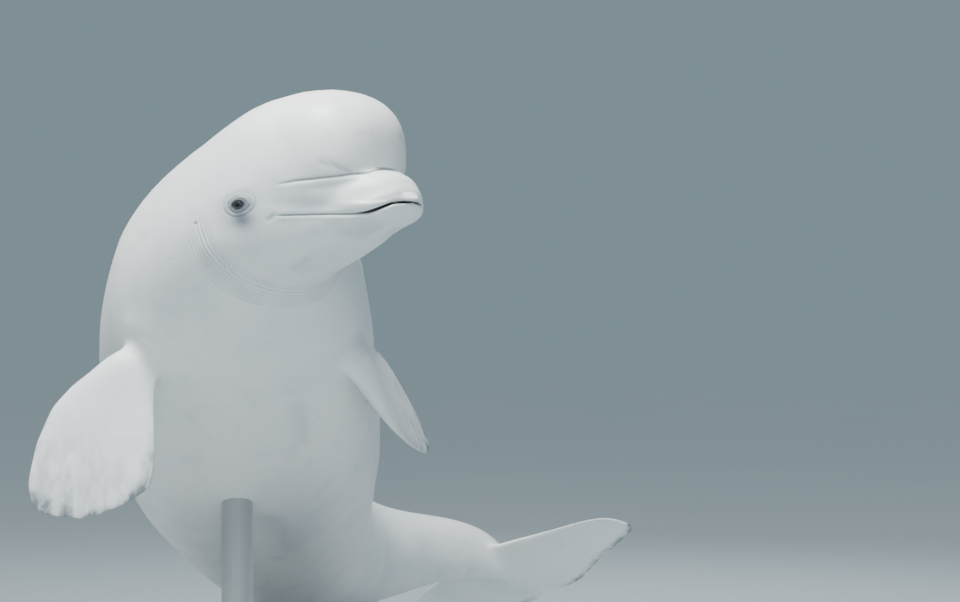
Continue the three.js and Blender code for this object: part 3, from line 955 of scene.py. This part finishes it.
class Amount:
    """A value in a material, so that shader maths reads as arithmetic."""

    def __init__(self, finish, socket):
        self.finish = finish
        self.socket = socket

    def maths(self, operation, *values):
        settings = {"operation": operation}
        return self.finish.node("ShaderNodeMath", settings, dict(enumerate(values)))

    def __add__(self, other):
        return self.maths("ADD", self, other)

    def __radd__(self, other):
        return self.maths("ADD", other, self)

    def __mul__(self, other):
        return self.maths("MULTIPLY", self, other)

    def __rmul__(self, other):
        return self.maths("MULTIPLY", other, self)

    def between(self, start, end):
        """Runs smoothly from 0 to 1 while this value runs from start to end."""
        settings = {"interpolation_type": "SMOOTHSTEP"}
        values = {"Value": self, "From Min": start, "From Max": end}
        return self.finish.node("ShaderNodeMapRange", settings, values, "Result")


# The sockets of a Mix node that mixes colours: its factor, first and second colour, and result
MIX_INPUTS = (0, 6, 7)
MIX_OUTPUT = 2


class Finish:
    """A procedural material of the model."""

    def __init__(self, name):
        self.material = bpy.data.materials.new(name)
        self.material.use_nodes = True
        self.nodes = self.material.node_tree.nodes
        self.links = self.material.node_tree.links
        self.shader = self.nodes["Principled BSDF"]

    def give(self, socket, value):
        """Links a value to a socket, or sets the socket to it."""
        if isinstance(value, Amount):
            self.links.new(value.socket, socket)
        else:
            socket.default_value = value

    def node(self, kind, settings=None, values=None, output=0):
        """Adds a node: its settings first, then the values or links of its sockets."""
        made = self.nodes.new(kind)
        for name, value in (settings or {}).items():
            setattr(made, name, value)
        for name, value in (values or {}).items():
            self.give(made.inputs[name], value)
        return Amount(self, made.outputs[output])

    def place(self):
        return self.node("ShaderNodeTexCoord", output="Object")

    def stretched(self, scale):
        """Object coordinates drawn out along the axes with a small scale."""
        values = {"Vector": self.place(), "Scale": scale}
        return self.node("ShaderNodeMapping", None, values, "Vector")

    def noise(self, scale, detail=3.0, roughness=0.5, place=None):
        values = {"Vector": place or self.place(), "Scale": scale}
        values.update({"Detail": detail, "Roughness": roughness})
        return self.node("ShaderNodeTexNoise", None, values, "Fac")

    def cells(self, scale):
        values = {"Vector": self.place(), "Scale": scale}
        return self.node("ShaderNodeTexVoronoi", None, values, "Distance")

    def mask(self, name):
        return self.node("ShaderNodeAttribute", {"attribute_name": name}, None, "Fac")

    def vector(self, operation, values, output="Vector"):
        return self.node("ShaderNodeVectorMath", {"operation": operation}, values, output)

    def mix(self, factor, first, second):
        """Runs from the first colour to the second."""
        values = dict(zip(MIX_INPUTS, (factor, first, second)))
        return self.node("ShaderNodeMix", {"data_type": "RGBA"}, values, MIX_OUTPUT)

    def relief(self, height, distance, strength):
        values = {"Height": height, "Distance": distance, "Strength": strength}
        self.set(Normal=self.node("ShaderNodeBump", None, values, "Normal"))

    def set(self, **values):
        for name, value in values.items():
            self.give(self.shader.inputs[name.replace("_", " ")], value)


def colour(red, green, blue):
    return (red, green, blue, 1.0)


def skin_finish():
    made = Finish("whale_skin")
    cloud = made.noise(2.2, 4.0, 0.55)
    patch = made.noise(9.0, 5.0, 0.6)
    grain = made.noise(240.0, 3.0, 0.6)
    pores = made.cells(420.0)
    lines = made.mask("lines")
    eye = made.mask("painted_eye_shade")
    mouth = made.mask("mouth")
    rim = made.mask("rim")
    base = made.mix(cloud.between(0.38, 0.66), colour(0.88, 0.90, 0.90), colour(0.78, 0.83, 0.85))
    base = made.mix(patch.between(0.52, 0.78) * 0.5, base, colour(0.68, 0.72, 0.73))
    base = made.mix(patch.between(0.46, 0.28) * 0.4, base, colour(0.86, 0.865, 0.84))
    scratch = made.noise(26.0, 2.0, 0.5, made.stretched((1.0, 0.12, 1.0)))
    base = made.mix(scratch.between(0.66, 0.72) * 0.22, base, colour(0.60, 0.65, 0.68))
    speck = made.noise(85.0, 2.0, 0.5)
    base = made.mix(speck.between(0.70, 0.78) * 0.35, base, colour(0.50, 0.53, 0.54))
    streak = made.noise(34.0, 3.0, 0.6, made.stretched((1.0, 1.0, 0.3)))
    base = made.mix(rim * (0.3 + streak.between(0.3, 0.7)), base, colour(0.17, 0.205, 0.225))
    # Painted shade in the folds, creases and pits of the skin
    base = made.mix(lines * 0.75, base, colour(0.15, 0.185, 0.21))
    # Painted shade round and under the eyes
    base = made.mix(eye * 0.96, base, colour(0.035, 0.065, 0.105))
    # Painted shade: near black in the mouth groove and inside the eye openings
    base = made.mix(mouth.between(0.25, 0.95), base, colour(0.035, 0.03, 0.035))
    rough = 0.38 + patch * 0.12 + lines * 0.15
    height = grain * 0.5 + pores * 0.25 + patch * 1.2
    made.relief(height, 0.0012, 0.35)
    made.set(Base_Color=base, Roughness=rough, Coat_Weight=0.12, Coat_Roughness=0.25)
    made.set(Subsurface_Weight=0.12, Subsurface_Scale=0.02, Subsurface_Radius=(1.0, 0.75, 0.65))
    return made.material


# The edges in an eye, as the distances from its line of sight in metres between which each fades
PUPIL_EDGE = (0.0050, 0.0040)
RING_EDGE = (0.0086, 0.0108)
WHITE_EDGE = (0.0110, 0.0135)


def eye_finish(name, centre, gaze):
    """A dark, wet eye: a pupil, a nearly black iris, a grey-blue ring and a dark white."""
    made = Finish(name)
    offset = made.vector("SUBTRACT", {0: made.place(), 1: centre})
    side = made.vector("CROSS_PRODUCT", {0: offset, 1: gaze})
    away = made.vector("LENGTH", {0: side}, "Value")
    rays = made.noise(900.0, 3.0, 0.6)
    iris = made.mix(rays, colour(0.010, 0.010, 0.012), colour(0.026, 0.025, 0.028))
    ring = made.mix(away.between(*RING_EDGE), iris, colour(0.035, 0.05, 0.065))
    dark = made.mix(away.between(*WHITE_EDGE), ring, colour(0.02, 0.02, 0.022))
    base = made.mix(away.between(*PUPIL_EDGE), dark, colour(0.003, 0.003, 0.004))
    made.set(Base_Color=base, Roughness=0.2, Coat_Weight=0.5, Coat_Roughness=0.03)
    return made.material


def lacquer_finish():
    made = Finish("stand_base")
    grain = made.noise(18.0, 6.0, 0.6, made.stretched((1.0, 0.05, 1.0)))
    dust = made.noise(5.0, 3.0, 0.5)
    base = made.mix(grain, colour(0.055, 0.06, 0.068), colour(0.11, 0.115, 0.12))
    base = made.mix(dust.between(0.5, 0.8) * 0.25, base, colour(0.16, 0.165, 0.17))
    made.relief(grain, 0.0006, 0.3)
    made.set(Base_Color=base, Roughness=0.32 + dust * 0.15, Coat_Weight=0.3, Coat_Roughness=0.15)
    return made.material


def steel_finish():
    made = Finish("stand_rod")
    lines = made.noise(60.0, 4.0, 0.6, made.stretched((1.0, 1.0, 14.0)))
    base = made.mix(lines, colour(0.50, 0.51, 0.52), colour(0.66, 0.67, 0.68))
    made.relief(lines, 0.0002, 0.4)
    made.set(Base_Color=base, Metallic=1.0, Roughness=0.24 + lines * 0.16)
    return made.material


def floor_finish():
    made = Finish("floor")
    cloud = made.noise(0.7, 3.0, 0.5)
    base = made.mix(cloud, colour(0.50, 0.56, 0.585), colour(0.54, 0.595, 0.615))
    made.set(Base_Color=base, Roughness=0.75)
    return made.material


# The pieces

BOARD_BEVEL = 0.006
FOOT_BEVEL = 0.004
FLOOR_RADIUS = 40.0


def make_skin():
    skin = joined_skin()
    skin.data.materials.clear()
    skin.data.materials.append(skin_finish())
    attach(skin, "root")
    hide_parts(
        "head",
        "neck",
        "chest",
        "belly",
        "tail_stock",
        "fluke_left",
        "fluke_right",
        "flipper_left",
        "flipper_right",
    )


def make_eye(side, sign):
    """An eyeball, with its pupil where the eye looks out of the skin."""
    node = f"eye_{side}"
    straight = eye_centre(sign)
    centre = to_metres(bend(straight))[0]
    outward = to_metres(bend(straight + eye_axis(sign) * 10))[0] - centre
    gaze = Vector(outward).normalized()
    bm = bmesh.new()
    radius = EYE_RADIUS / METRE
    bmesh.ops.create_uvsphere(bm, u_segments=64, v_segments=40, radius=radius)
    bmesh.ops.rotate(bm, verts=bm.verts, matrix=gaze.to_track_quat("Z", "Y").to_matrix())
    bmesh.ops.translate(bm, verts=bm.verts, vec=Vector(centre))
    eye = finish_mesh(f"eyeball_{side}", bm)
    shade_smooth(eye)
    eye.data.materials.append(eye_finish(node, tuple(centre), tuple(gaze)))
    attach(eye, "root")
    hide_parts(node)


def bevelled(name, node, material, width):
    """A copy of a stand node with its sharp edges rounded."""
    bm = bmesh.new()
    bm.from_mesh(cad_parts[node].data)
    bmesh.ops.remove_doubles(bm, verts=bm.verts, dist=1e-6)
    bmesh.ops.dissolve_limit(bm, angle_limit=math.radians(1), verts=bm.verts, edges=bm.edges)
    sharp = [edge for edge in bm.edges if edge.is_manifold and edge.calc_face_angle() > 1.0]
    bmesh.ops.bevel(
        bm,
        geom=sharp,
        offset=width,
        affect="EDGES",
        segments=4,
        profile=0.5,
        material=-1,
        clamp_overlap=True,
    )
    piece = finish_mesh(name, bm)
    shade_smooth(piece)
    piece.data.set_sharp_from_angle(angle=math.radians(35))
    piece.data.materials.append(material)
    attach(piece, "root")
    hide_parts(node)


def make_stand():
    bevelled("base_board", "stand_base", lacquer_finish(), BOARD_BEVEL)
    steel = steel_finish()
    for place in ("front", "rear"):
        bevelled(f"foot_{place}", f"stand_foot_{place}", steel, FOOT_BEVEL)
        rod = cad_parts[f"stand_rod_{place}"]
        rod.data.materials.clear()
        rod.data.materials.append(steel)


def make_floor():
    bm = bmesh.new()
    bmesh.ops.create_circle(bm, cap_ends=True, segments=96, radius=FLOOR_RADIUS)
    floor = finish_mesh("floor", bm)
    floor.data.materials.append(floor_finish())


LIGHTS_AIM = (0.0, -0.4, 1.2)
LIGHTS = [
    # name, place, size, power, tint, whether it shows in glossy surfaces
    ("key", (-0.9, -2.6, 5.2), 1.6, 450, (1.0, 0.985, 0.96), True),
    ("front", (1.2, -7.6, 3.2), 4.0, 110, (0.94, 0.97, 1.0), False),
    ("back", (1.5, 4.6, 4.2), 3.0, 120, (0.88, 0.95, 1.0), False),
]


def make_light(name, place, size, power, tint, glossy):
    light = bpy.data.lights.new(name, "AREA")
    light.shape = "DISK"
    light.size = size
    light.energy = power
    light.color = tint
    lamp = bpy.data.objects.new(name, light)
    lamp.location = place
    aim = Vector(LIGHTS_AIM) - Vector(place)
    lamp.rotation_euler = aim.to_track_quat("-Z", "Y").to_euler()
    lamp.visible_glossy = glossy
    bpy.context.collection.objects.link(lamp)


def make_lights():
    """A pale blue surround, three round lights and soft daylight from above."""
    world = bpy.data.worlds.new("studio")
    world.use_nodes = True
    sky = world.node_tree.nodes["Background"]
    sky.inputs["Color"].default_value = (0.49, 0.68, 0.77, 1.0)
    sky.inputs["Strength"].default_value = 0.42
    bpy.context.scene.world = world
    for row in LIGHTS:
        make_light(*row)
    daylight = bpy.data.lights.new("daylight", "SUN")
    daylight.energy = 0.7
    daylight.angle = math.radians(40)
    lamp = bpy.data.objects.new("daylight", daylight)
    lamp.rotation_euler = (math.radians(24), math.radians(-12), 0)
    bpy.context.collection.objects.link(lamp)


CAMERA = (77.5, -5436.7, -228.9)  # in millimetres, in the frame of the bent body


def make_camera():
    """A level camera that looks along the model, as the photograph does."""
    lens = bpy.data.cameras.new("camera")
    lens.sensor_width = 36.0
    lens.lens = 90.0
    lens.clip_end = 200.0
    camera = bpy.data.objects.new("camera", lens)
    camera.location = to_metres(np.array(CAMERA))
    camera.rotation_euler = (math.radians(90), 0, 0)
    bpy.context.collection.objects.link(camera)
    bpy.context.scene.camera = camera


make_camera()
make_skin()
make_eye("right", -1)
make_eye("left", 1)
make_stand()
make_floor()
make_lights()
